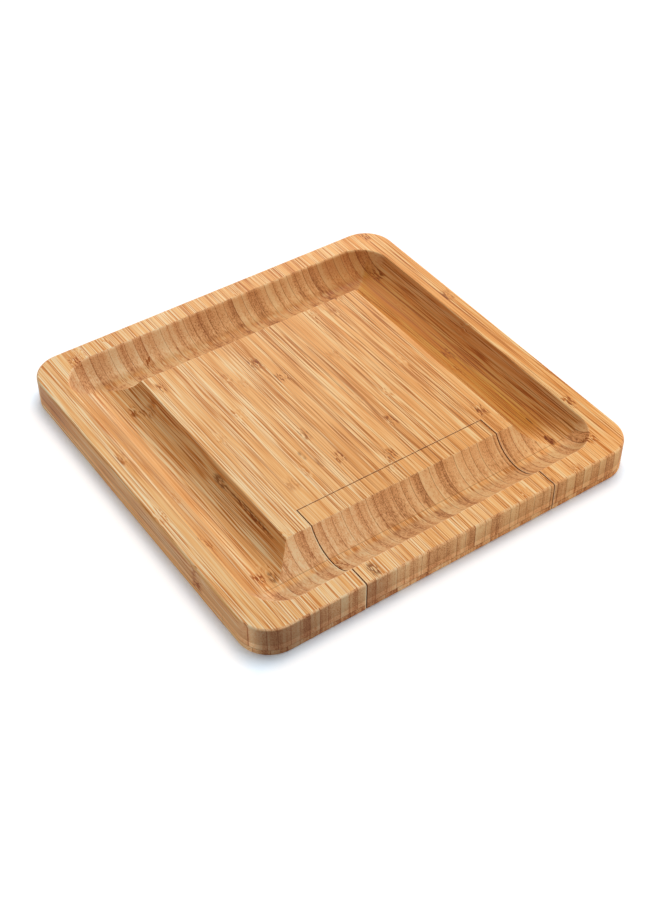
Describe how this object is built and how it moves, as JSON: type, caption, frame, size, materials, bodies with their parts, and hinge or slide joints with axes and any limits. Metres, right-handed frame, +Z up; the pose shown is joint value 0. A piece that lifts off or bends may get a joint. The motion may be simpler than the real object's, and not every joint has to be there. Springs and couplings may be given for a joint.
{
  "type": "cheese board",
  "caption": "Square bamboo cheese board with a coved cracker trough round a raised platform and a slide-out drawer of cheese tools.",
  "frame": {"origin": "middle of the underside, at the centre of the board's square plan", "axes": "+X to the right along the drawer's face, +Y away from the drawer along the grain, +Z up"},
  "size_m": [0.33, 0.33, 0.025],
  "materials": {
    "bamboo_board": "oiled bamboo laminated in strips, satin",
    "bamboo_tray": "sanded bamboo sheet, matt",
    "handle_bamboo": "oiled carbonised bamboo, satin",
    "blade_steel": "stainless steel, brushed along the blade",
    "ferrule_steel": "polished stainless steel",
    "magnet_nickel": "nickel-plated magnet, polished",
    "dowel_beech": "turned beech dowel, raw"
  },
  "bodies": {
    "board": {"board_top": "bamboo_board", "base_panel": "bamboo_board", "runner_left": "bamboo_tray", "runner_right": "bamboo_tray", "stop_dowels": "dowel_beech", "pocket_magnets": "magnet_nickel"},
    "drawer": {"drawer_front": "bamboo_board", "drawer_front_base": "bamboo_board", "drawer_floor": "bamboo_tray", "drawer_insert": "bamboo_tray", "drawer_magnets": "magnet_nickel", "spade_handle": "handle_bamboo", "spade_ferrule": "ferrule_steel", "spade_blade": "blade_steel", "cleaver_handle": "handle_bamboo", "cleaver_ferrule": "ferrule_steel", "cleaver_blade": "blade_steel", "slicer_handle": "handle_bamboo", "slicer_ferrule": "ferrule_steel", "slicer_blade": "blade_steel", "fork_handle": "handle_bamboo", "fork_ferrule": "ferrule_steel", "fork_blade": "blade_steel"}
  },
  "joints": [
    {"name": "drawer_slide", "type": "slide", "parent": "board", "child": "drawer", "axis": [0, -1, 0], "range_m": [0, 0.125]}
  ]
}
